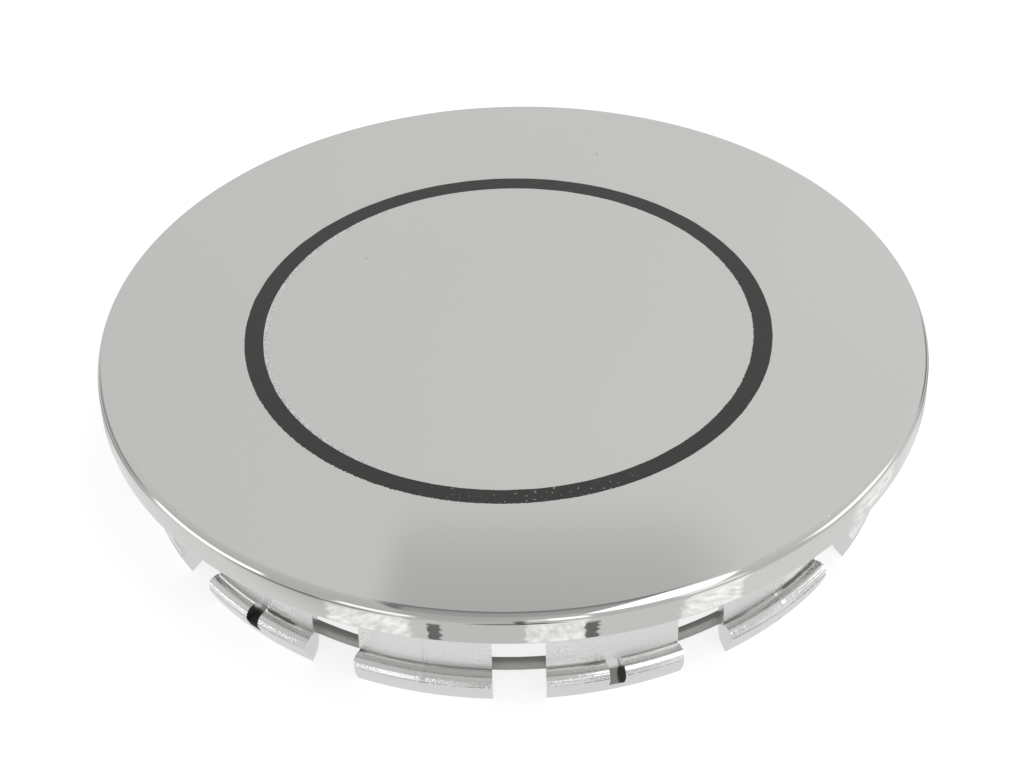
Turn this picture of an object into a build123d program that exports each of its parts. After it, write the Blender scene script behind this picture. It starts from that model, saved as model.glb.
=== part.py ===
from build123d import *
import os
from math import asin, degrees, sqrt

# Wheel centre cap. It stands face up on its clips: origin on the axis at the clip tips, +Z up.
# All sizes are in millimetres.

# Face and rim
face_dia = 83.0
cap_height = 14.65
face_thickness = 2.2
rim_height = 3.2
face_edge_radius = 0.9
rim_foot_radius = 0.25

# Painted ring, let into the face and sitting a little to one side of the axis
paint_dia = 52.9
paint_width = 1.9
paint_depth = 0.1
paint_offset = -0.4

# Ring of spring clips under the rim, which stands out past them by the ledge
clip_count = 13
clip_gap = 4.95
rim_ledge = 4.95
leg_thickness = 0.9
leg_root_radius = 0.5
pocket_corner_radius = 0.6

# Bead at the foot of each clip: a nearly level shoulder, a round crest and a long lead-in to the tip
bead_rise = 1.43
bead_end_radius = 0.4
shoulder_height = 3.2
shoulder_drop = 0.12
shoulder_radius = 0.7
lead_in_height = 2.0
lead_in_radius = 0.6
tip_rise = 0.6
tip_width = 0.1

# Back of each clip below the wire: it leans outwards, then a rounded heel turns it to the tip
heel_rise = 0.4
heel_height = 0.7
heel_radius = 0.5
flare_height = 2.2
flare_radius = 1.0

# Notch in the bead of every second clip, as deep as the leg
notch_width = 1.5
notch_foot = 1.05

# Wire ring that springs outwards into a seat behind the beads
wire_dia = 1.2
wire_height = 2.85
wire_seat_depth = 0.3
wire_seat_clearance = 0.02
wire_split = 4.0

# Worked out from the sizes above
face_r = face_dia / 2
leg_r = face_r - rim_ledge
bead_r = leg_r + bead_rise
tip_r = leg_r + tip_rise
pocket_r = leg_r - leg_thickness
flange_z = cap_height - rim_height
pocket_z = cap_height - face_thickness
pitch = 360 / clip_count
wire_r = wire_dia / 2
wire_path_r = pocket_r + wire_seat_depth - wire_r
paint_r = paint_dia / 2

# The front of the cap, towards -Y, has a gap between two clips. Angles run anticlockwise from +X.
front_angle = -90
cut_margin = 1.0


def rounded_section(points, rounds):
    """Half section in the XZ plane, with each corner named in rounds given its radius."""
    section = make_face(Polyline(*points, close=True))
    for corner, radius in rounds:
        vertex = section.vertices().sort_by_distance(corner)[0]
        section = fillet(vertex, radius)
    return Plane.XZ * section


def cap_blank():
    """Face, rim and one unbroken clip wall, turned about the axis."""
    rim_foot = (face_r, flange_z)
    leg_root = (leg_r, flange_z)
    bead_top = (bead_r, shoulder_height - shoulder_drop)
    lead_in_top = (bead_r, lead_in_height)
    heel = (pocket_r + heel_rise, heel_height)
    flare_top = (pocket_r, flare_height)
    pocket_corner = (pocket_r, pocket_z)
    points = [
        (0, cap_height),
        (face_r, cap_height),
        rim_foot,
        leg_root,
        (leg_r, shoulder_height),
        bead_top,
        lead_in_top,
        (tip_r, 0),
        (tip_r - tip_width, 0),
        heel,
        flare_top,
        pocket_corner,
        (0, pocket_z),
    ]
    rounds = [
        ((face_r, cap_height), face_edge_radius),
        (rim_foot, rim_foot_radius),
        (leg_root, leg_root_radius),
        (bead_top, shoulder_radius),
        (lead_in_top, lead_in_radius),
        (heel, heel_radius),
        (flare_top, flare_radius),
        (pocket_corner, pocket_corner_radius),
    ]
    return revolve(rounded_section(points, rounds), Axis.Z)


def clip_gaps():
    """Straight-sided gaps up to the underside of the rim, with mouths that round the ends of the beads."""
    half_gap = clip_gap / 2
    round_end = half_gap + bead_end_radius
    mouth_r = sqrt(bead_r**2 - round_end**2)
    half_mouth = round_end + cut_margin
    upper = [
        (pocket_r - cut_margin, half_gap),
        (mouth_r, half_gap),
        (mouth_r, half_mouth),
        (bead_r + cut_margin, half_mouth),
    ]
    lower = [(x, -y) for x, y in reversed(upper)]
    plan = make_face(Polyline(*upper, *lower, close=True))
    for side in (half_gap, -half_gap):
        corner = plan.vertices().sort_by_distance((mouth_r, side))[0]
        plan = fillet(corner, bead_end_radius)
    gap = Pos(Z=-cut_margin) * extrude(plan, flange_z + cut_margin)
    return [place * gap for place in PolarLocations(0, clip_count, front_angle)]


def bead_notches():
    """Notches in every second bead, from the clip to the left of the front pair onwards."""
    leg_core = Cylinder(leg_r, cap_height, align=(Align.CENTER, Align.CENTER, Align.MIN))
    notch = Pos(Z=notch_foot) * Box(
        bead_r + cut_margin,
        notch_width,
        shoulder_height + cut_margin - notch_foot,
        align=(Align.MIN, Align.CENTER, Align.MIN),
    )
    notch -= leg_core
    first_angle = front_angle - 1.5 * pitch
    pairs = clip_count // 2
    return [place * notch for place in PolarLocations(0, pairs, first_angle, 2 * pitch * pairs)]


def wire_seat():
    """Round groove behind the beads; its bottom just meets the wire."""
    seat = Pos(wire_path_r - wire_seat_clearance, wire_height) * Circle(wire_r + wire_seat_clearance)
    return revolve(Plane.XZ * seat, Axis.Z)


def painted_ring():
    """Flat band of paint, flush with the face."""
    band = Circle(paint_r) - Circle(paint_r - paint_width)
    return Pos(paint_offset, 0, cap_height - paint_depth) * extrude(band, paint_depth)


def cap_body():
    """The moulded cap, with its clips parted and the paint's groove sunk into the face."""
    body = cap_blank() - clip_gaps()
    body -= bead_notches()
    body -= wire_seat()
    return body - painted_ring()


def retaining_ring():
    """Open ring of round wire, with its split near the back, behind a plain clip."""
    half_split = degrees(asin(wire_split / 2 / wire_path_r))
    plain_clip_angle = front_angle + 180 + pitch
    wire = Plane.XZ * (Pos(wire_path_r, wire_height) * Circle(wire_r))
    ring = revolve(wire, Axis.Z, 360 - 2 * half_split)
    return Rot(Z=plain_clip_angle + half_split) * ring


os.makedirs("parts", exist_ok=True)
nodes = {
    "cap_body": cap_body(),
    "painted_ring": painted_ring(),
    "retaining_ring": retaining_ring(),
}
for name, shape in nodes.items():
    export_step(shape, f"parts/{name}.step")
    print(name, round(shape.volume, 1), "mm3,", len(shape.solids()), "solid")
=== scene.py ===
# %% [markdown]
# A chromed wheel centre cap stands face up on its clips. It is a thin plastic moulding with a bright
# chrome skin, a dark line painted on its face, and a ring of steel wire behind its clips.
# The packed CAD model gives the true sizes. It is loaded first, as a frame that never moves, and each
# piece below is a finer mesh of one CAD node, made in the same place.

# %% Load the frame
import math

import bmesh
import bpy
from mathutils import Matrix, Vector, noise


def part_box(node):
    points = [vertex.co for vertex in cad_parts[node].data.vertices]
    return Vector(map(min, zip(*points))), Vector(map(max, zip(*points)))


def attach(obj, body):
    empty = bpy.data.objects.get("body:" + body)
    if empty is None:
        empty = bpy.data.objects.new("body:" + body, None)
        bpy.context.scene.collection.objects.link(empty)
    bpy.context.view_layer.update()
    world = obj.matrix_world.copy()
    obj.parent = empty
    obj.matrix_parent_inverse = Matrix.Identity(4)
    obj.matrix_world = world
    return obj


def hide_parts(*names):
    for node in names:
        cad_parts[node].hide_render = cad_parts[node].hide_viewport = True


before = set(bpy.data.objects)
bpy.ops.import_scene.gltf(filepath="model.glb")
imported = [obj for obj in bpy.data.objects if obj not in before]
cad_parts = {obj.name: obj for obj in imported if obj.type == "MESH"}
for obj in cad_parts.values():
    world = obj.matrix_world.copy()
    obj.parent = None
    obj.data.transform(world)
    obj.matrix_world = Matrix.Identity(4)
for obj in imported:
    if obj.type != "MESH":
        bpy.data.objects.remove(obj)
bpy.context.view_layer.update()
print("CAD nodes:", sorted(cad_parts))

# %% [markdown]
# Chrome shows every facet, so the meshes here are much finer than the CAD ones. They need the same sizes.
# The overall size is read from the frame, so that it can't drift, and the small sizes of the moulding
# are written once, in millimetres, as a maker would read them from a drawing.

# %% Sizes of the moulding
MM = 0.001
_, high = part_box("cap_body")
face_r = high.x
top = high.z
film = 0.03 * MM
chrome_top = top - film
face_edge_round = 0.9 * MM
rim_foot = top - 3.2 * MM
rim_foot_round = 0.25 * MM
ceiling = top - 2.2 * MM
leg_r = face_r - 4.95 * MM
pocket_r = leg_r - 0.9 * MM
pocket_round = 0.6 * MM
print(f"face {2 * face_r / MM:.1f} mm across, {top / MM:.1f} mm high")

# %% [markdown]
# The cap was moulded in a tool that was turned on a lathe, so its section tells nearly all of its shape.
# A section could be drawn as a curve with a screw modifier. Here it is a chain of edges in a bmesh: a
# vertex bevel rounds a corner of a bare chain into a true arc, which keeps the list of points short.

# %% Draw a section and turn it
ROUND_STEPS = 10
MERGE = 1e-7


def lay_section(bm, corners, closed=False):
    """Joins (radius, height, rounding) corners with edges in the XZ plane and rounds them."""
    verts = [bm.verts.new((r, 0, z)) for r, z, rounding in corners]
    followers = verts[1:] + verts[:1] if closed else verts[1:]
    for vert, follower in zip(verts, followers):
        bm.edges.new((vert, follower))
    for vert, (r, z, rounding) in zip(verts, corners):
        if rounding:
            arms = [edge.other_vert(vert).co - vert.co for edge in vert.link_edges]
            cut_back = rounding / math.tan(arms[0].angle(arms[1]) / 2)
            bmesh.ops.bevel(
                bm, geom=[vert], affect="VERTICES", offset=cut_back, offset_type="OFFSET",
                segments=ROUND_STEPS, profile=0.5, material=-1,
            )


def turn_section(bm, angle, steps):
    """Spins everything drawn so far about the cap's axis."""
    whole = math.isclose(angle, math.tau)
    bmesh.ops.spin(
        bm, geom=bm.verts[:] + bm.edges[:], cent=(0, 0, 0), axis=(0, 0, 1),
        angle=angle, steps=steps, use_merge=whole,
    )
    bmesh.ops.remove_doubles(bm, verts=bm.verts[:], dist=MERGE)
    bmesh.ops.recalc_face_normals(bm, faces=bm.faces[:])


print("a rounded corner has", ROUND_STEPS, "steps")

# %% [markdown]
# The face is a flat disc with a rounded edge, a plain upright rim and a shallow hollow behind. On a
# mirror-bright disc the flat has to stay dead flat right up to the rounding, so one extra ring of points
# lies just inside the edge and keeps the smooth shading from bending the reflection.

# %% The face and rim
FACE_STEPS = 288
guard = 0.06 * MM

shell = bmesh.new()
lay_section(shell, [
    (0, chrome_top, 0),
    (face_r - face_edge_round - guard, chrome_top, 0),
    (face_r, chrome_top, face_edge_round),
    (face_r, rim_foot, rim_foot_round),
    (face_r - rim_foot_round - guard, rim_foot, 0),
    (pocket_r, rim_foot, 0),
    (pocket_r, ceiling, pocket_round),
    (pocket_r - pocket_round - guard, ceiling, 0),
    (0, ceiling, 0),
])
turn_section(shell, math.tau, FACE_STEPS)
print("face and rim:", len(shell.faces), "faces")

# %% [markdown]
# Thirteen springy clips stand under the rim. Each has a thin leg, then a bead that snaps behind the lip
# of the wheel's bore: a fine valley at the leg, a rounded shoulder, a crest with a narrow facet that
# catches the light, and a long ramp down to a thin tip. Behind the bead a shallow seat holds the wire,
# and below the wire the back leans out to a rounded heel. A clip is a short piece of a turned wall, so
# one section is spun through the clip's own angle. Its head reaches a little into the rim, so that no
# seam can show.

# %% Section of a clip
clip_count = 13
pitch = math.tau / clip_count
half_gap = 4.95 / 2 * MM
head_sunk = 0.3 * MM
head_reach = 0.9 * MM
bead_r = leg_r + 1.43 * MM
tip_r = leg_r + 0.6 * MM
shoulder_z = 3.2 * MM
crease_z = 3.06 * MM
crest_top_z = 2.8 * MM
crest_foot_z = 2.38 * MM
wire_z = 2.85 * MM
seat_depth = 0.3 * MM
seat_half = 0.53 * MM

clip_section = [
    (leg_r + head_reach, rim_foot + head_sunk, 0),
    (leg_r + head_reach, rim_foot, 0),
    (leg_r, rim_foot, 0.5 * MM),
    (leg_r, crease_z, 0.04 * MM),
    (leg_r + 0.3 * MM, shoulder_z, 0.2 * MM),
    (leg_r + 0.92 * MM, shoulder_z - 0.13 * MM, 0.6 * MM),
    (bead_r - 0.19 * MM, crest_top_z, 0.35 * MM),
    (bead_r, crest_foot_z, 0.3 * MM),
    (bead_r, 2.0 * MM, 0.6 * MM),
    (tip_r, 0, 0.03 * MM),
    (tip_r - 0.1 * MM, 0, 0.03 * MM),
    (pocket_r + 0.4 * MM, 0.7 * MM, 0.5 * MM),
    (pocket_r, 2.2 * MM, 0.6 * MM),
    (pocket_r, wire_z - seat_half, 0),
    (pocket_r + seat_depth, wire_z, 0.6 * MM),
    (pocket_r, wire_z + seat_half, 0),
    (pocket_r, rim_foot, 0),
    (pocket_r + guard, rim_foot + head_sunk, 0),
]
print("clip section:", len(clip_section), "corners")

# %% [markdown]
# The gaps between the clips have parallel sides, as a straight slide in the mould leaves them, so a clip
# doesn't end on a line through the axis. The spun wall is made a little too long, and a plane cuts each
# end off square to the gap. Four more planes, each turned further, plane the corner of the bead round in
# plan. Every cut is closed before the next one, so each leaves one flat face.

# %% Cut a clip to length
CLIP_STEPS = 40
END_CUTS = 5
end_round = 0.4 * MM
mouth_r = math.sqrt(bead_r**2 - (half_gap + end_round) ** 2)


def open_edges(bm):
    """Edges that still lack a face on one side."""
    return [edge for edge in bm.edges if len(edge.link_faces) < 2]


def cut_along(bm, point, normal, drop_outer=False):
    """Splits all faces along a plane, and may throw away what lies on the side that the normal points to."""
    bmesh.ops.bisect_plane(
        bm, geom=bm.verts[:] + bm.edges[:] + bm.faces[:], dist=MERGE,
        plane_co=point, plane_no=normal, clear_outer=drop_outer,
    )


def cut_clip_ends(bm):
    """Trims both ends of a clip on the +X axis along the gaps, and rounds the bead there."""
    bmesh.ops.holes_fill(bm, edges=open_edges(bm), sides=0)
    for side in (-1, 1):
        outwards = Vector((math.cos(pitch / 2), side * math.sin(pitch / 2), 0))
        into_gap = Vector((-math.sin(pitch / 2), side * math.cos(pitch / 2), 0))
        centre = (mouth_r - end_round) * outwards - (half_gap + end_round) * into_gap
        for cut in range(END_CUTS):
            turn = math.pi / 2 * cut / END_CUTS
            normal = math.cos(turn) * into_gap + math.sin(turn) * outwards
            cut_along(bm, centre + end_round * normal, normal, drop_outer=True)
            bmesh.ops.holes_fill(bm, edges=open_edges(bm), sides=0)


print("each end of a clip takes", END_CUTS, "cuts")

# %% [markdown]
# Every second clip has a notch in its bead, as deep as the leg, where a pin of the mould stood. A Boolean
# could sink it. Three plane cuts mark it out instead, and the skin of the bead between them is taken away.
# The leg's lower edge there is drawn down to make the back, and the two sides and the ledge are filled,
# each in its own plane, which leaves clean corners. These faces get a mark that the finish can read.

# %% Sink a notch
RECESS = "recess"
notch_half = 1.5 / 2 * MM
notch_foot = 1.05 * MM


def flat_edges(bm, axis, place):
    """Open edges that lie in one plane across an axis."""
    return [e for e in open_edges(bm) if all(abs(v.co[axis] - place) < MERGE for v in e.verts)]


def sink_notch(bm):
    """Cuts a notch into the bead of a clip that lies on the +X axis."""
    sides = [(1, -notch_half), (1, notch_half), (2, notch_foot)]
    for axis, place in sides:
        normal = Vector((0, axis == 1, axis == 2))
        cut_along(bm, place * normal, normal)
    leg_foot = shoulder_z + guard
    cut_along(bm, (0, 0, leg_foot), (0, 0, 1))
    middles = [(face, face.calc_center_median()) for face in bm.faces]
    skin = [
        f for f, c in middles
        if abs(c.y) < notch_half and notch_foot < c.z < leg_foot and c.xy.length > leg_r - guard
    ]
    bmesh.ops.delete(bm, geom=skin, context="FACES")
    drawn = bmesh.ops.extrude_edge_only(bm, edges=flat_edges(bm, 2, leg_foot))["geom"]
    back_foot = [v for v in drawn if isinstance(v, bmesh.types.BMVert)]
    for vert in back_foot:
        vert.co.z = notch_foot
    rim = {v for e in open_edges(bm) for v in e.verts if abs(v.co.z - notch_foot) < MERGE}
    for y in (-notch_half, notch_half):
        bm.edges.new([v for v in rim if abs(v.co.y - y) < MERGE])
    walls = [f for f in drawn if isinstance(f, bmesh.types.BMFace)]
    for axis, place in sides:
        walls += bmesh.ops.edgeloop_fill(bm, edges=flat_edges(bm, axis, place))["faces"]
    mark = bm.faces.layers.float[RECESS]
    for wall in walls:
        wall[mark] = 1.0


print(f"a notch is {2 * notch_half / MM:.1f} mm wide")

# %% [markdown]
# A plain clip has the faint upright line that two halves of a mould leave where they meet. It is a real
# ridge, a few hundredths of a millimetre high: three close cuts down the middle of the clip, and the
# middle row of points pushed outwards.

# %% Raise the parting line
ridge_half = 0.07 * MM
ridge_height = 0.035 * MM


def raise_parting_line(bm):
    """Pushes a fine ridge out of the middle of a clip that lies on the +X axis."""
    for place in (-ridge_half, 0, ridge_half):
        cut_along(bm, (0, place, 0), (0, 1, 0))
    outside = (leg_r + pocket_r) / 2
    crest = [v for v in bm.verts if abs(v.co.y) < MERGE and v.co.x > outside and v.co.z < rim_foot]
    bmesh.ops.translate(bm, verts=crest, vec=(ridge_height, 0, 0))


print(f"the parting line is {ridge_height / MM:.3f} mm high")

# %% [markdown]
# Each kind of clip is made once, on the +X axis, and copies are turned to their places. A gap faces the
# front. From the clip left of the front pair, every second one has a notch; with thirteen clips, two
# plain ones meet at the left.

# %% Set the clips round the rim
front = -math.pi / 2
first_notched = 2


def make_clip(notched):
    """One clip on the +X axis, as a mesh."""
    bm = bmesh.new()
    bm.faces.layers.float.new(RECESS)
    lay_section(bm, clip_section, closed=True)
    bmesh.ops.rotate(bm, cent=(0, 0, 0), matrix=Matrix.Rotation(-pitch / 2, 3, "Z"), verts=bm.verts[:])
    turn_section(bm, pitch, CLIP_STEPS)
    cut_clip_ends(bm)
    if notched:
        sink_notch(bm)
    else:
        raise_parting_line(bm)
    bmesh.ops.recalc_face_normals(bm, faces=bm.faces[:])
    mesh = bpy.data.meshes.new("clip")
    bm.to_mesh(mesh)
    kind = "notched" if notched else "plain"
    print(kind, "clip:", len(bm.faces), "faces,", len(open_edges(bm)), "open edges")
    bm.free()
    return mesh


clips = {notched: make_clip(notched) for notched in (True, False)}
shell.faces.layers.float.new(RECESS)
for place in range(clip_count):
    order = (place + first_notched) % clip_count
    notched = order % 2 == 0 and order < clip_count - 1
    clip = clips[notched].copy()
    clip.transform(Matrix.Rotation(front + (place + 0.5) * pitch, 4, "Z"))
    shell.from_mesh(clip)
    bpy.data.meshes.remove(clip)
for mesh in clips.values():
    bpy.data.meshes.remove(mesh)
print("face, rim and", clip_count, "clips:", len(shell.faces), "faces")

# %% [markdown]
# The face and the clips are one moulding, so they become one object. Faces are shaded smooth, apart from
# the many-sided ones that close a cut end. Edges that turn by more than a set angle are marked sharp, so a
# rounding flows and a cut end stays crisp.

# %% Finish the shell
SHARP_TURN = math.radians(34)
LARGEST_SMOOTH = 8


def finish_piece(bm, name, node):
    """Makes an object of the bmesh, which rides on the cap and stands for its CAD node."""
    for face in bm.faces:
        face.smooth = len(face.verts) <= LARGEST_SMOOTH
    for edge in bm.edges:
        edge.smooth = len(edge.link_faces) == 2 and edge.calc_face_angle() < SHARP_TURN
    mesh = bpy.data.meshes.new(name)
    bm.to_mesh(mesh)
    bm.free()
    piece = bpy.data.objects.new(name, mesh)
    bpy.context.scene.collection.objects.link(piece)
    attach(piece, "root")
    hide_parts(node)
    print(name, "has", sum(len(face.vertices) - 2 for face in mesh.polygons), "triangles")
    return piece


cap_shell = finish_piece(shell, "cap_shell", "cap_body")

# %% [markdown]
# A spring-steel wire, bent to an open ring, lies in the seats behind the beads and pushes the clips out.
# A curve with a round bevel could draw it. A circle spun about the axis gives the same tube with closed,
# flat-cut ends, and the circle's points stay on lines along the wire, which the drawn finish follows.

# %% The wire ring
WIRE_SIDES = 28
WIRE_STEPS = 320
wire_r = 0.6 * MM
wire_path_r = pocket_r + seat_depth - wire_r
wire_split = 4.0 * MM
half_split = math.asin(wire_split / 2 / wire_path_r)
split_middle = front + math.pi + pitch

bm = bmesh.new()
bmesh.ops.create_circle(bm, segments=WIRE_SIDES, radius=wire_r)
bmesh.ops.rotate(bm, cent=(0, 0, 0), matrix=Matrix.Rotation(math.pi / 2, 3, "X"), verts=bm.verts[:])
bmesh.ops.translate(bm, verts=bm.verts[:], vec=(wire_path_r, 0, wire_z))
wire_start = Matrix.Rotation(split_middle + half_split, 3, "Z")
bmesh.ops.rotate(bm, cent=(0, 0, 0), matrix=wire_start, verts=bm.verts[:])
turn_section(bm, math.tau - 2 * half_split, WIRE_STEPS)
bmesh.ops.holes_fill(bm, edges=open_edges(bm), sides=0)
bmesh.ops.recalc_face_normals(bm, faces=bm.faces[:])
wire_ring = finish_piece(bm, "wire_ring", "retaining_ring")

# %% [markdown]
# The dark line on the face is a film of paint, laid on a little off centre. A film has a soft, rounded
# edge that wavers by a few hundredths of a millimetre. Its section is spun very finely about the line's
# own centre, and smooth noise then moves both edges in and out. The outer edge is ragged at the front and
# on the left, and the inner one on the right, so finer noise is added there.

# %% The painted line
PAINT_STEPS = 2880
paint_outer = 52.9 / 2 * MM
paint_inner = paint_outer - 1.9 * MM
paint_centre = Vector((-0.4 * MM, 0, 0))
paint_sunk = 0.04 * MM
edge_soft = 0.03 * MM
waver = 0.035 * MM
WAVES = 14
RIPPLES = 90
TATTERS = 220

bm = bmesh.new()
lay_section(bm, [
    (paint_inner, chrome_top - paint_sunk, 0),
    (paint_inner, chrome_top, 0),
    (paint_inner + edge_soft, top, 0),
    (paint_outer - edge_soft, top, 0),
    (paint_outer, chrome_top, 0),
    (paint_outer, chrome_top - paint_sunk, 0),
], closed=True)
turn_section(bm, math.tau, PAINT_STEPS)
middle_r = (paint_inner + paint_outer) / 2
for vert in bm.verts:
    out = vert.co.xy.normalized()
    outer_edge = vert.co.xy.length > middle_r
    spot = Vector((out.x, out.y, 0.7 * outer_edge))
    rough = max(0, -0.8 * out.y - 0.6 * out.x if outer_edge else out.x) ** 2
    drift = noise.noise(WAVES * spot) + 0.6 * noise.noise(RIPPLES * spot)
    drift += 3.4 * rough * noise.noise(TATTERS * spot)
    vert.co.xy += out * waver * drift
bmesh.ops.translate(bm, verts=bm.verts[:], vec=paint_centre)
paint_line = finish_piece(bm, "paint_line", "painted_ring")

# %% [markdown]
# Finishes are made of shader nodes. They could be wired one by one, but a mask of ten Math nodes is hard to
# read that way. Here a small class stands for one output socket and turns ordinary maths on it into Math
# nodes, so that a mask reads as a formula.

# %% Shader maths as Python


class Signal:
    """One output of a shader node. Maths on it adds Math nodes to the same tree."""

    def __init__(self, tree, socket):
        self.tree = tree
        self.socket = socket

    def maths(self, operation, first, second):
        return self.tree.add("ShaderNodeMath", {"operation": operation}, {0: first, 1: second})["Value"]

    def __add__(self, other):
        return self.maths("ADD", self, other)

    def __radd__(self, other):
        return self.maths("ADD", other, self)

    def __sub__(self, other):
        return self.maths("SUBTRACT", self, other)

    def __rsub__(self, other):
        return self.maths("SUBTRACT", other, self)

    def __mul__(self, other):
        return self.maths("MULTIPLY", self, other)

    def __rmul__(self, other):
        return self.maths("MULTIPLY", other, self)

    def __truediv__(self, other):
        return self.maths("DIVIDE", self, other)

    def __rtruediv__(self, other):
        return self.maths("DIVIDE", other, self)


print("reflected operators:", [name for name in vars(Signal) if name.startswith("__r")][:4])

# %% [markdown]
# One method adds every other kind of node, with its settings and its sockets. The methods after it are the
# few building blocks that all finishes share: soft steps, colour mixes, noise and distances.

# %% Node trees


class Tree:
    """The node tree of a material or of the world."""

    def __init__(self, owner):
        owner.use_nodes = True
        self.nodes = owner.node_tree.nodes
        self.links = owner.node_tree.links
        self.nodes.clear()

    def add(self, kind, settings=None, sockets=None):
        """Adds a node: first its settings, then the values or links of its sockets."""
        node = self.nodes.new(kind)
        for name, value in (settings or {}).items():
            if name == "stops":
                self.set_stops(node.color_ramp.elements, value)
            else:
                setattr(node, name, value)
        usable = {socket.name: socket for socket in node.inputs if socket.enabled}
        for key, value in (sockets or {}).items():
            socket = node.inputs[key] if isinstance(key, int) else usable[key]
            if isinstance(value, Signal):
                self.links.new(value.socket, socket)
            else:
                socket.default_value = value
        return {socket.name: Signal(self, socket) for socket in node.outputs if socket.enabled}

    @staticmethod
    def set_stops(elements, stops):
        while len(elements) < len(stops):
            elements.new(1.0)
        for element, (place, level) in zip(elements, stops):
            element.position = place
            element.color = (level, level, level, 1)

    def step(self, value, start, end):
        """Goes smoothly from 0 at start to 1 at end."""
        settings = {"interpolation_type": "SMOOTHSTEP"}
        places = {"Value": value, "From Min": start, "From Max": end}
        return self.add("ShaderNodeMapRange", settings, places)["Result"]

    def between(self, value, start, end, soft):
        """1 from start to end and 0 outside, with soft edges."""
        return self.step(value, start - soft, start + soft) * (1 - self.step(value, end - soft, end + soft))

    def blend(self, share, first, second):
        """Mixes two colours."""
        settings = {"data_type": "RGBA"}
        return self.add("ShaderNodeMix", settings, {"Factor": share, "A": first, "B": second})["Result"]

    def mottling(self, vector, scale, detail):
        """Smooth noise about 0.5, with so many swells to the metre."""
        sockets = {"Vector": vector, "Scale": scale, "Detail": detail}
        return self.add("ShaderNodeTexNoise", sockets=sockets)["Fac"]

    def stretch(self, vector, factors):
        """Multiplies each part of a vector by a factor of its own."""
        settings = {"operation": "MULTIPLY"}
        return self.add("ShaderNodeVectorMath", settings, {0: vector, 1: factors})["Vector"]

    def distance(self, vector, centre=(0, 0, 0)):
        """How far a point lies from a centre."""
        settings = {"operation": "DISTANCE"}
        return self.add("ShaderNodeVectorMath", settings, {0: vector, 1: centre})["Value"]


print("building blocks:", [name for name in vars(Tree) if not name.startswith("__")])

# %% [markdown]
# Each finish starts as an empty material on its piece, with no default shader left in it, so the tree holds
# only what the cells below add. Most colours here are neutral, and one number gives them.

# %% Start a finish


def grey(level):
    """A neutral colour."""
    return (level, level, level, 1)


def new_finish(name, *pieces):
    """An empty material, given to the pieces."""
    material = bpy.data.materials.new(name)
    for piece in pieces:
        piece.data.materials.clear()
        piece.data.materials.append(material)
    return Tree(material)


print("pieces to finish:", [piece.name for piece in (cap_shell, paint_line, wire_ring)])

# %% [markdown]
# Chrome plate is a mirror, and each region of the cap wears it in its own way: the face is smooth, the legs
# and beads of the clips are not. The regions could be painted by hand as an attribute. Here the height
# above the clip tips and the distance from the axis tell them apart, so they follow the sizes and stay
# sharp at any distance. Only the notches have a mark of their own, set when they were cut.

# %% Chrome plate: the regions
plate = new_finish("chrome_plate", cap_shell)
spot = plate.add("ShaderNodeTexCoord")["Object"]
coords = plate.add("ShaderNodeSeparateXYZ", sockets={"Vector": spot})
above_tips = coords["Z"]
in_plan = plate.stretch(spot, (1, 1, 0))
radius = plate.distance(in_plan)
notched = plate.add("ShaderNodeAttribute", {"attribute_name": RECESS})["Fac"]
on_clips = 1 - plate.step(above_tips, rim_foot - 0.3 * MM, rim_foot - 0.05 * MM)
on_legs = on_clips * plate.step(above_tips, shoulder_z + 0.02 * MM, shoulder_z + 0.2 * MM)
on_shoulder = plate.step(above_tips, crest_top_z - 0.05 * MM, crest_top_z + 0.15 * MM) * (1 - on_legs)
on_crest = plate.step(above_tips, crest_foot_z - 0.08 * MM, crest_foot_z + 0.02 * MM)
on_crest = on_crest * (1 - plate.step(above_tips, crest_top_z - 0.1 * MM, crest_top_z + 0.1 * MM))
on_crest = on_crest * plate.step(radius, bead_r - 0.35 * MM, bead_r - 0.25 * MM)
print("chrome regions:", len(plate.nodes), "nodes")

# %% [markdown]
# The plastic under the plate came from a spark-eroded mould, so the chrome on the clips is hammered, in
# patches: a fine grain bends each reflection, pits on the legs glint, and the crest of each bead sparkles.
# The dents are about a hundredth of a millimetre deep. As geometry they would take millions of faces, so
# they are a bump, made of noise at four sizes.

# %% Chrome plate: the hammered relief
grain = plate.mottling(spot, 2600, 3)
swell = plate.mottling(spot, 700, 2)
cover = plate.mottling(spot, 130, 1)
sparkle = plate.mottling(spot, 7000, 1)
pits = plate.mottling(spot, 4200, 2)
hammered = 0.35 + 0.65 * plate.step(cover, 0.42, 0.62)
hammered = on_clips * hammered * (1 - on_legs * 0.4 - on_shoulder * 0.7)
beaten = on_legs * plate.step(cover, 0.5, 0.6)
height = hammered * (grain * (0.06 * MM) + swell * (0.03 * MM))
height = height + on_crest * sparkle * (0.022 * MM) + beaten * pits * (0.035 * MM)
height = (1 - notched) * height
bump = plate.add("ShaderNodeBump", sockets={"Height": height, "Strength": 1.0, "Distance": 1.0})["Normal"]
print("with its relief:", len(plate.nodes), "nodes")
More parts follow.
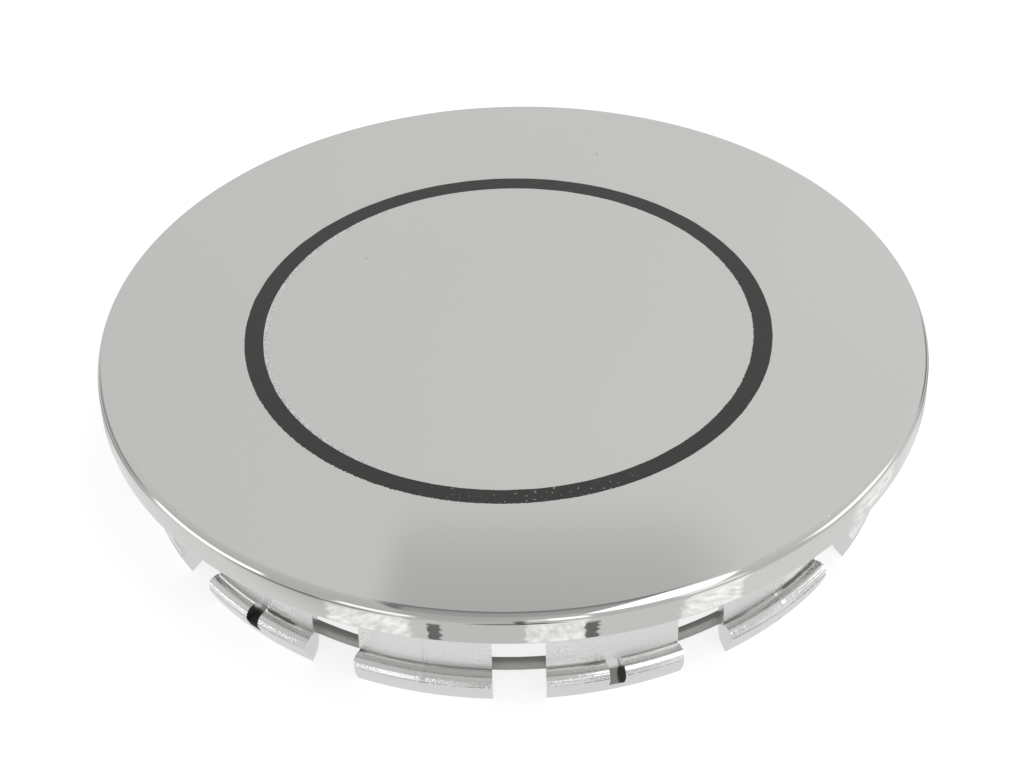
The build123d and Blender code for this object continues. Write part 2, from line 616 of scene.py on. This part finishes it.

# %% [markdown]
# Some of these marks are painted light. Shade is painted into stretches of the crease where a leg meets its
# bead, and into the foot of each notch. A dark, brownish reflection is painted along a line at the foot of
# each crest and in patches on it. A breath of overspray lies beside the painted line, at its left: a pale
# haze with dark dots. Each mark is a mask, broken up by the same noise as the relief, so that marks and
# dents belong together.

# %% Chrome plate: painted shade, painted reflection and overspray
crumbs = plate.mottling(spot, 1500, 4)
out_of_leg = radius - leg_r
# Painted shade: the crease where a leg meets its bead is darker, in stretches.
in_crease_shade = 1 - plate.step(out_of_leg - crumbs * (0.6 * MM), -0.16 * MM, -0.08 * MM)
in_crease_shade = in_crease_shade * plate.step(out_of_leg, -0.1 * MM, 0.0) * on_clips
in_crease_shade = in_crease_shade * (1 - plate.step(above_tips, shoulder_z + 0.02 * MM, shoulder_z + 0.1 * MM))
in_crease_shade = in_crease_shade * plate.step(above_tips, crease_z - 0.05 * MM, crease_z - 0.02 * MM)
in_crease_shade = in_crease_shade * (0.1 + 0.9 * plate.step(cover, 0.5, 0.58)) * (1 - notched)
# Painted reflection: a dark line along the foot of each crest, and brownish patches on the crest.
under_crest = plate.step(above_tips, crest_foot_z - 0.18 * MM, crest_foot_z - 0.12 * MM)
under_crest = under_crest * (1 - plate.step(above_tips, crest_foot_z - 0.06 * MM, crest_foot_z + 0.02 * MM))
under_crest = under_crest * plate.step(radius, bead_r - 0.1 * MM, bead_r - 0.04 * MM) * (1 - notched)
crest_reflection = under_crest * (0.45 + 0.55 * plate.step(cover, 0.44, 0.56)) * plate.step(grain, 0.32, 0.5)
crest_reflection = crest_reflection + on_crest * 0.45 * plate.step(cover, 0.46, 0.6) * plate.step(sparkle, 0.4, 0.6)
# Painted shade in the foot of each notch.
in_notch_shade = notched * (1 - plate.step(above_tips, 1.9 * MM, 2.6 * MM))

from_line = plate.distance(in_plan, paint_centre)
hazed = plate.step(from_line, paint_inner - 0.8 * MM, paint_inner)
hazed = hazed * (1 - plate.step(from_line, paint_inner, paint_outer))
hazed = hazed * plate.step(coords["X"], -8 * MM, -18 * MM)
sprayed = hazed * plate.step(pits, 0.4, 0.65)
print("with its marks:", len(plate.nodes), "nodes")

# %% [markdown]
# The colours of a metal are the colours of its reflections. The plate keeps about two thirds of the light
# on the face. On the clips the same plate is drawn brighter, which paints in light that they catch. The
# marks, painted shade and painted reflection among them, are mixed in one after the other, and three specks
# of dust on the face come last. The legs, where the plate is thin, are satin.

# %% Chrome plate: colours and gloss
chrome = (0.66, 0.655, 0.64, 1)
# Painted light: the clips' chrome is drawn brighter than the face's.
lit_clip_chrome = (0.79, 0.79, 0.785, 1)
pitted = (0.70, 0.70, 0.69, 1)
# Painted shade in the creases.
crease_shade = (0.2, 0.195, 0.185, 1)
# Painted shade in the notches.
notch_shade = (0.2, 0.196, 0.186, 1)
# Painted dark reflection on the crests.
dark_reflection = (0.30, 0.275, 0.24, 1)
haze = (0.78, 0.76, 0.755, 1)
overspray = grey(0.25)
# Where each speck lies and its radius, in millimetres, and then its grey.
specks = [
    ((-15.1, 12.3), 0.10, 0.08),
    ((9.7, 30.8), 0.11, 0.1),
    ((28.5, -29.15), 0.12, 1.0),
]
# The brighter clip chrome is painted light.
colour = plate.blend(on_clips, chrome, lit_clip_chrome)
colour = plate.blend(on_legs * hammered * 1.6 * plate.step(pits, 0.55, 0.4), colour, pitted)
# Painted shade in the creases.
colour = plate.blend(in_crease_shade * 0.75, colour, crease_shade)
# Painted shade in the notches.
colour = plate.blend(in_notch_shade * 0.8, colour, notch_shade)
# Painted dark reflection on the crests.
colour = plate.blend(crest_reflection * 0.85, colour, dark_reflection)
colour = plate.blend(hazed, colour, haze)
colour = plate.blend(sprayed * 0.55, colour, overspray)
for (x, y), size, shade in specks:
    away = plate.distance(in_plan, (x * MM, y * MM, 0))
    colour = plate.blend((1 - plate.step(away, 0.5 * size * MM, size * MM)) * 0.8, colour, grey(shade))
surface = plate.add("ShaderNodeBsdfPrincipled", sockets={
    "Base Color": colour,
    "Metallic": 1.0,
    "Roughness": 0.05 + on_clips * 0.06 + on_legs * 0.2 - beaten * 0.14 + sprayed * 0.2,
    "Normal": bump,
})["BSDF"]
plate.add("ShaderNodeOutputMaterial", sockets={"Surface": surface})
print("chrome plate:", len(plate.nodes), "nodes")

# %% [markdown]
# The painted line is a thin satin enamel. Dust fell on it while it dried: pale specks show at the front.
# They could be tiny meshes, but they lie within the film, so they are the highest peaks of a fine noise.

# %% Line enamel
enamel = new_finish("ring_paint", paint_line)
spot = enamel.add("ShaderNodeTexCoord")["Object"]
mottle = enamel.mottling(spot, 900, 3)
thick = (0.012, 0.0115, 0.010, 1)
thin = (0.026, 0.0245, 0.0225, 1)
colour = enamel.blend(mottle, thick, thin)
coords = enamel.add("ShaderNodeSeparateXYZ", sockets={"Vector": spot})
grit = enamel.mottling(spot, 4400, 0)
dust = (0.30, 0.29, 0.27, 1)
dusty = enamel.step(coords["Y"], -21.5 * MM, -24.5 * MM) * enamel.step(coords["X"], -14 * MM, 6 * MM)
colour = enamel.blend(dusty * enamel.step(grit, 0.745, 0.80), colour, dust)
surface = enamel.add("ShaderNodeBsdfPrincipled", sockets={
    "Base Color": colour,
    "Roughness": 0.28 + mottle * 0.1,
})["BSDF"]
enamel.add("ShaderNodeOutputMaterial", sockets={"Surface": surface})
print("line enamel:", len(enamel.nodes), "nodes")

# %% [markdown]
# Spring wire is drawn through a die, which leaves fine streaks along it and a dull grey shine. A UV map
# along the wire could carry them. The wire is a plain ring, so noise that is drawn out along the angle
# about the axis does the same with no map.

# %% Drawn wire
drawn = new_finish("spring_wire", wire_ring)
spot = drawn.add("ShaderNodeTexCoord")["Object"]
coords = drawn.add("ShaderNodeSeparateXYZ", sockets={"Vector": spot})
radius = drawn.distance(drawn.stretch(spot, (1, 1, 0)))
along = coords["Y"].maths("ARCTAN2", coords["Y"], coords["X"]) * wire_path_r
drawn_out = {"X": along * 0.06, "Y": radius, "Z": coords["Z"]}
strands = drawn.add("ShaderNodeCombineXYZ", sockets=drawn_out)["Vector"]
streak = drawn.mottling(strands, 9000, 2)
dull = (0.30, 0.30, 0.28, 1)
bright = (0.46, 0.46, 0.44, 1)
colour = drawn.blend(streak, dull, bright)
surface = drawn.add("ShaderNodeBsdfPrincipled", sockets={
    "Base Color": colour,
    "Metallic": 1.0,
    "Roughness": 0.42 + streak * 0.15,
})["BSDF"]
drawn.add("ShaderNodeOutputMaterial", sockets={"Surface": surface})
print("drawn wire:", len(drawn.nodes), "nodes")

# %% [markdown]
# The cap stands on a white table. A large grid of one face is enough for it, because it is flat and plain.

# %% The table
table_half = 1.5
bm = bmesh.new()
bmesh.ops.create_grid(bm, x_segments=1, y_segments=1, size=table_half)
mesh = bpy.data.meshes.new("table")
bm.to_mesh(mesh)
bm.free()
table = bpy.data.objects.new("table", mesh)
bpy.context.scene.collection.objects.link(table)
print("table:", 2 * table_half, "m square")

# %% [markdown]
# In the chrome, the table is the lower half of the room. Close by it is bright, but with the cap's shadow
# painted in under the beads and behind the cap. Further out the rim mirrors a sheet with creased, glaring
# strips and two short ragged lines, fanned out round the rim. Real cards and cloths could be laid there, but
# they would show to the camera. So the strips are drawn on the table for mirrored rays only: each goes from
# one angle round the rim to another.

# %% The table: strips round the rim
white = new_finish("table_white", table)
spot = white.add("ShaderNodeTexCoord")["Object"]
across = white.add("ShaderNodeSeparateXYZ", sockets={"Vector": spot})
from_cap = white.distance(spot)
ahead = 0 - across["Y"] - face_r / 2
tatter = white.mottling(spot, 900, 3)
round_rim = ahead.maths("ARCTAN2", across["X"], ahead) * math.degrees(0.5) + (tatter - 0.5) * 2
# Where each strip starts and ends in degrees, how soft its edges are, and how much light it adds.
strips = [
    (-24, -13.9, 0.4, 0.4),
    (-9.9, 1, 0.1, -0.05),
    (1, 8.5, 0.3, 0.35),
    (20.8, 28.2, 0.4, 0.4),
    (43.8, 50, 0.8, 0.25),
]
dark_lines = [(-11.5, -9.9), (8.5, 10.2)]
to_side = round_rim.maths("ABSOLUTE", round_rim, 0)
pattern = 0.8 + 0.1 * white.step(to_side, 22, 30)
for start, end, soft, gain in strips:
    pattern = pattern + gain * white.between(round_rim, start, end, soft)
line_reach = white.between(from_cap, 50.2 * MM, 57.0 * MM, 0.4 * MM)
for start, end in dark_lines:
    pattern = pattern - 0.6 * line_reach * white.between(round_rim, start, end, 0.1)
creases = white.mottling(white.stretch(spot, (1, 0.45, 1)), 800, 3)
pattern = pattern * (1 + (creases - 0.5) * 1.2 * white.step(pattern, 1.02, 1.12))
print("round the rim:", len(strips), "strips and", len(dark_lines), "dark lines")

# %% [markdown]
# The sheet lies only in front of the cap. Beyond it, and at the sides, lie a few dark things, which the
# chrome shows as soft blots. A hand's breadth away the mirrored table ends, and the room shows down to its
# edge.

# %% The table: what else the chrome sees
# Where each blot lies and its inner and outer radius, in millimetres, and then the share of light it takes.
blots = [
    ((-52, -66), 14, 36, 0.72),
    ((64, 12), 4, 16, 0.7),
    ((-70, 0), 12, 26, 0.5),
]
plain = 0.82
sheet = plain + (pattern - plain) * white.step(across["Y"], 0.0, -8 * MM)
in_middle = 1 - white.step(across["X"].maths("ABSOLUTE", across["X"], 0), 11 * MM, 14 * MM)
past_sheet = white.step(from_cap, 66 * MM, 85 * MM) * in_middle
sheet = sheet * (1 - past_sheet * (0.7 + 0.2 * white.step(across["X"], -1 * MM, 1 * MM)))
for (x, y), inner, outer, depth in blots:
    away = white.distance(spot, (x * MM, y * MM, 0))
    sheet = sheet * (1 - depth * (1 - white.step(away, inner * MM, outer * MM)))
# Painted shadow: the mirrored table is darker close under the beads, and much darker behind the cap.
close_by_shadow = 0.78 + 0.14 * white.step(from_cap, 39 * MM, 42 * MM)
close_by_shadow = close_by_shadow - 0.45 * white.step(across["Y"], -6 * MM, 8 * MM)
mirrored = close_by_shadow + (sheet - close_by_shadow) * white.step(from_cap, 47 * MM, 50 * MM)
print("dark blots:", len(blots))

# %% [markdown]
# For the camera the table glows a little, so that it reads as clean white, and the light that it catches is
# added on top, so that the cap's shadow stays. More light on the table would also flood the cap. So a Mix
# Shader chooses by the kind of ray: mirrored rays see the drawn pattern, and all others the white table.

# %% The table: white to the camera
ray = white.add("ShaderNodeLightPath")
table_glow = grey(0.77)
table_card = grey(0.4)
sockets = {"Color": table_glow, "Strength": ray["Is Camera Ray"]}
glow = white.add("ShaderNodeEmission", sockets=sockets)["Emission"]
card = white.add("ShaderNodeBsdfDiffuse", sockets={"Color": table_card})["BSDF"]
seen = white.add("ShaderNodeAddShader", sockets={0: glow, 1: card})["Shader"]
image = white.add("ShaderNodeEmission", sockets={"Color": mirrored, "Strength": 1.0})["Emission"]
clear = white.add("ShaderNodeBsdfTransparent")["BSDF"]
ended = white.step(from_cap, 120 * MM, 160 * MM)
image = white.add("ShaderNodeMixShader", sockets={0: ended, 1: image, 2: clear})["Shader"]
in_mirror = ray["Is Glossy Ray"] + ray["Is Transmission Ray"]
either = white.add("ShaderNodeMixShader", sockets={0: in_mirror, 1: seen, 2: image})["Shader"]
white.add("ShaderNodeOutputMaterial", sockets={"Surface": either})
print("table white:", len(white.nodes), "nodes")

# %% [markdown]
# Chrome has no look of its own: it shows the room. The rounded edge of the cap is a fish-eye mirror, and
# reading it gave the room's plan: a pale tent with a grey board under its roof, a bright window in the roof
# beside the board, and lit panels low down all round. Lamps and cards could stand there. Drawn straight
# onto the sky, they need no objects, and they light the cap as well. First comes the tent itself, whose
# cloth is a little brighter behind the cap and to the right.

# %% The tent
world = bpy.data.worlds.new("tent")
bpy.context.scene.world = world
tent = Tree(world)
way = tent.add("ShaderNodeTexCoord")["Generated"]
aim = tent.add("ShaderNodeSeparateXYZ", sockets={"Vector": way})
over = aim["Z"].maths("ARCTAN2", aim["Z"], 0 - aim["Y"]) / math.pi
cloth = tent.mottling(way, 9, 2)
shade = 0.925 + cloth * 0.06 + tent.step(aim["X"], -0.25, 0.25) * 0.09
vault = tent.add("ShaderNodeValToRGB", {"stops": [
    (0.0, 0.64), (0.35, 0.66), (0.6, 0.72), (0.70, 0.79), (0.76, 0.815), (0.92, 0.815), (1.0, 0.78),
]}, {"Fac": over})["Color"]
print("tent cloth:", len(tent.nodes), "nodes")

# %% [markdown]
# The board and the window lie in the roof, so a ray's slope against the roof places them: how far it goes
# to the side, and to the back, for each step up. The board has a dark edge on its left and ends before the
# back. The face of the cap mirrors it as the darker patch at the front, and the window as the long glint
# on the edge.

# %% The roof: board and window
board = tent.add("ShaderNodeValToRGB", {"stops": [
    (0.33, 0.6), (0.42, 0.48), (0.6, 0.46), (0.67, 0.32), (0.70, 0.26), (0.742, 0.28), (0.752, 0.62),
    (0.760, 0.645), (0.767, 0.815),
]}, {"Fac": over})["Color"]
board_edge = grey(0.24)
window_light = grey(2.2)
roof_x = aim["X"] / aim["Z"]
roof_y = aim["Y"] / aim["Z"]
overhead = tent.step(aim["Z"], 0.3, 0.45)
board_left = roof_x - (-0.278 + roof_y * (0.27 - roof_y * 0.081))
board_right = roof_x - (0.211 - roof_y * 0.105)
window_right = roof_x - (0.545 - roof_y * 0.67)
blur = 0.02 + 0.03 * tent.step(roof_y, 0.7, 1.0)
on_board = overhead * tent.step(board_left, -0.012, 0.012) * (1 - tent.step(board_right, -0.02, blur))
on_edge = overhead * tent.between(board_left, 0, 0.035, 0.012) * tent.between(roof_y, -0.25, 0.5, 0.15)
in_window = overhead * tent.step(board_right, -0.01, 0.02) * tent.step(roof_y, -1.15, -0.75)
in_window = in_window * (1 - tent.step(window_right, -0.03, 0.02))
walls = tent.blend(on_board, vault, board)
walls = tent.blend(on_edge, walls, board_edge)
walls = tent.add("ShaderNodeVectorMath", {"operation": "SCALE"}, {"Vector": walls, "Scale": shade})["Vector"]
walls = tent.blend(in_window, walls, window_light)
print("with its roof:", len(tent.nodes), "nodes")

# %% [markdown]
# The panels stand low down. A ray's bearing, from 0 degrees at the front to the right, and its elevation
# place them. Those above 1 are lit and make the glints along the edge, and those below 1 are dark. To the
# camera the sky is plain white.

# %% The panels
# From and to, and how soft, as a bearing and then as an elevation in degrees; last, how bright.
panels = [
    (-97, -63, 2, -7, 14, 4, 2.0),
    (-43, -25, 2, -3, 16, 5, 1.6),
    (2, 7, 1, 14, 33, 4, 1.1),
    (7, 17, 1, 12, 35, 5, 1.7),
    (40, 57, 2, 10, 33, 5, 1.15),
    (79, 107, 4, 10, 34, 6, 1.6),
    (122, 141, 4, -30, 8, 6, 0.25),
    (-134, -102, 6, -30, 14, 8, 0.38),
    (-1, 1.5, 0.7, -20, 20, 6, 0.15),
]
bearing = aim["X"].maths("ARCTAN2", aim["X"], 0 - aim["Y"]) * math.degrees(1)
elevation = aim["Z"].maths("ARCSINE", aim["Z"], 0) * math.degrees(1)
for start, end, soft_end, foot, head, soft_edge, strength in panels:
    on_panel = tent.between(bearing, start, end, soft_end) * tent.between(elevation, foot, head, soft_edge)
    walls = tent.blend(on_panel, walls, grey(strength))
ray = tent.add("ShaderNodeLightPath")
shown = tent.blend(ray["Is Camera Ray"], walls, grey(1.0))
backdrop = tent.add("ShaderNodeBackground", sockets={"Color": shown, "Strength": 1.0})["Background"]
tent.add("ShaderNodeOutputWorld", sockets={"Surface": backdrop})
print("tent:", len(tent.nodes), "nodes,", len(panels), "panels")

# %% [markdown]
# The camera looks down at the face from the front, a little rolled, through a long lens. It could be placed
# by eye. Its place here was solved from the circles of the cap, which fix the distance and the tilt.

# %% The camera
focal_pixels = 2400.4
picture_width = 1024
tilt = math.radians(39.15)
azimuth = math.radians(0.35)
roll = math.radians(-1.55)
face_in_view = Vector((0.01, 5.73, -241.15)) * MM

lens = bpy.data.cameras.new("camera")
lens.sensor_width = 36
lens.sensor_fit = "HORIZONTAL"
lens.lens = focal_pixels / picture_width * lens.sensor_width
lens.clip_start = 0.01
camera = bpy.data.objects.new("camera", lens)
turned = (
    Matrix.Rotation(azimuth, 4, "Z")
    @ Matrix.Rotation(math.pi / 2 - tilt, 4, "X")
    @ Matrix.Rotation(roll, 4, "Z")
)
camera.matrix_world = Matrix.Translation(Vector((0, 0, top)) - turned @ face_in_view) @ turned
bpy.context.scene.collection.objects.link(camera)
bpy.context.scene.camera = camera
bpy.context.scene.view_settings.view_transform = "Standard"
print("camera at", [round(c / MM, 1) for c in camera.matrix_world.translation], "mm")

# %% [markdown]
# The visual model has to fill the same box as the CAD one.

# %% Update the view layer
bpy.context.view_layer.update()
